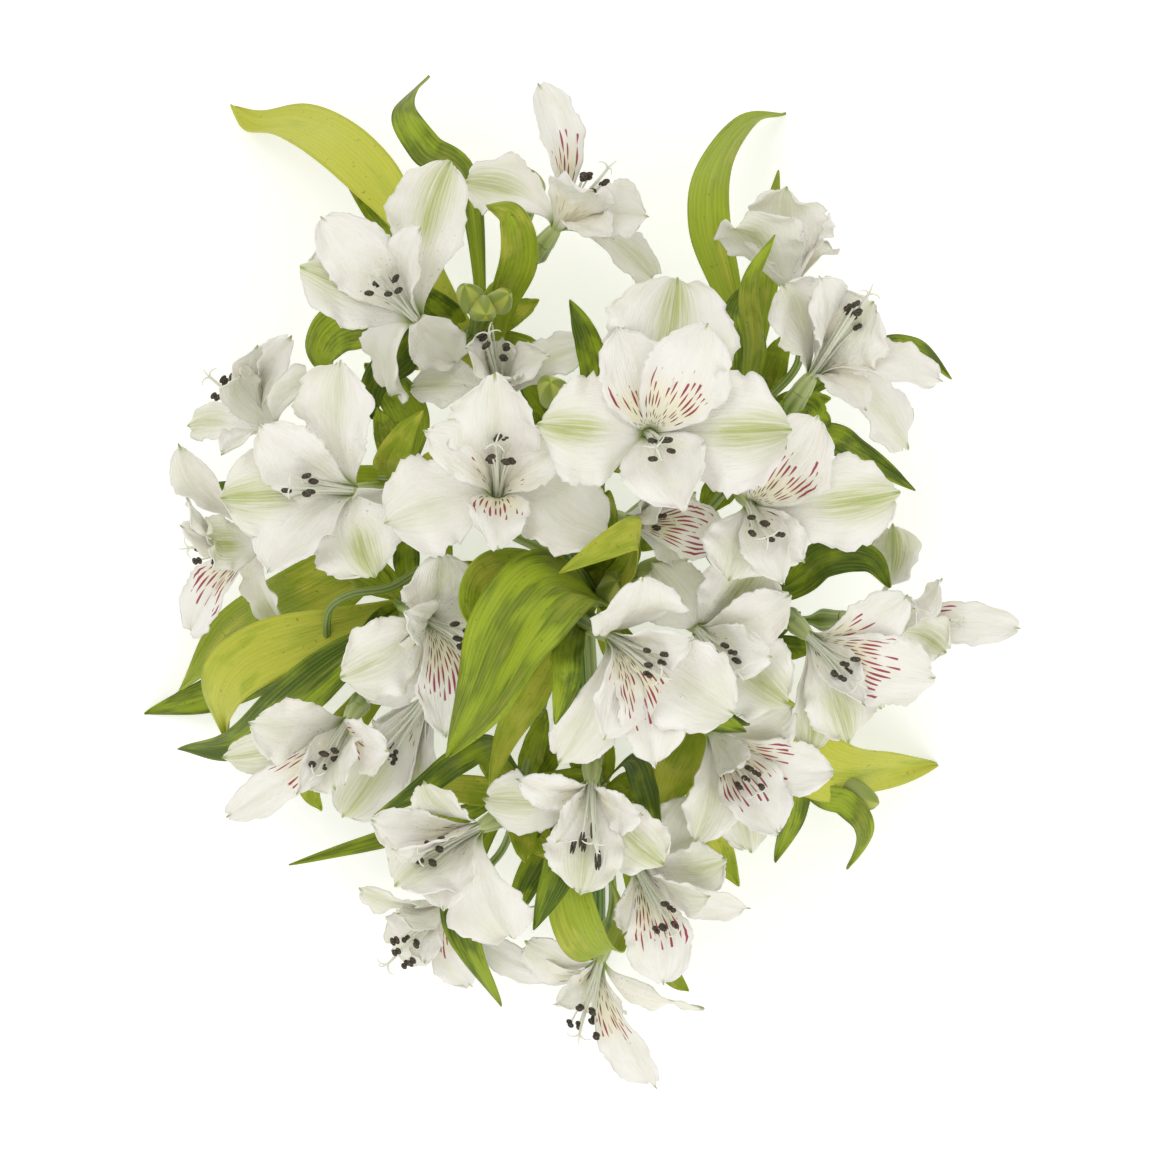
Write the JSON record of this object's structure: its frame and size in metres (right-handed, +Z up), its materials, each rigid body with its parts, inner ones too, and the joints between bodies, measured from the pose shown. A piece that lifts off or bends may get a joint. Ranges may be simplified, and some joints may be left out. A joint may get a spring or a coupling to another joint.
{
  "type": "alstroemeria stem",
  "caption": "Cut stem of white alstroemeria laid down, its umbel of streaked lily-like blooms, leaves and buds facing up.",
  "frame": {"origin": "on the surface the stem lies on, under the middle of the head's box", "axes": "+Z up from the surface, out of the middle of the umbel; +Y from the cut end of the stem towards the far leaves, along the longest side; +X across the head"},
  "size_m": [0.2563, 0.295, 0.1523],
  "materials": {
    "white_petal": "satin",
    "green_leaf": "satin",
    "green_stalk": "satin"
  },
  "bodies": {
    "root": {"bloom_1": "white_petal", "bloom_2": "white_petal", "bloom_3": "white_petal", "bloom_4": "white_petal", "bloom_5": "white_petal", "bloom_6": "white_petal", "bloom_7": "white_petal", "bloom_8": "white_petal", "bloom_9": "white_petal", "bloom_10": "white_petal", "bloom_11": "white_petal", "bloom_12": "white_petal", "bloom_13": "white_petal", "bloom_14": "white_petal", "bloom_15": "white_petal", "bloom_16": "white_petal", "bloom_17": "white_petal", "bloom_18": "white_petal", "bloom_19": "white_petal", "bloom_20": "white_petal", "bloom_21": "white_petal", "bloom_22": "white_petal", "bloom_23": "white_petal", "bloom_24": "white_petal", "bloom_25": "white_petal", "main_stem": "green_stalk", "ray_1": "green_leaf", "ray_2": "green_leaf", "ray_3": "green_leaf", "ray_4": "green_leaf", "ray_5": "green_leaf", "ray_6": "green_leaf", "ray_7": "green_leaf", "ray_8": "green_leaf", "ray_9": "green_leaf", "ray_10": "green_leaf"}
  },
  "joints": []
}
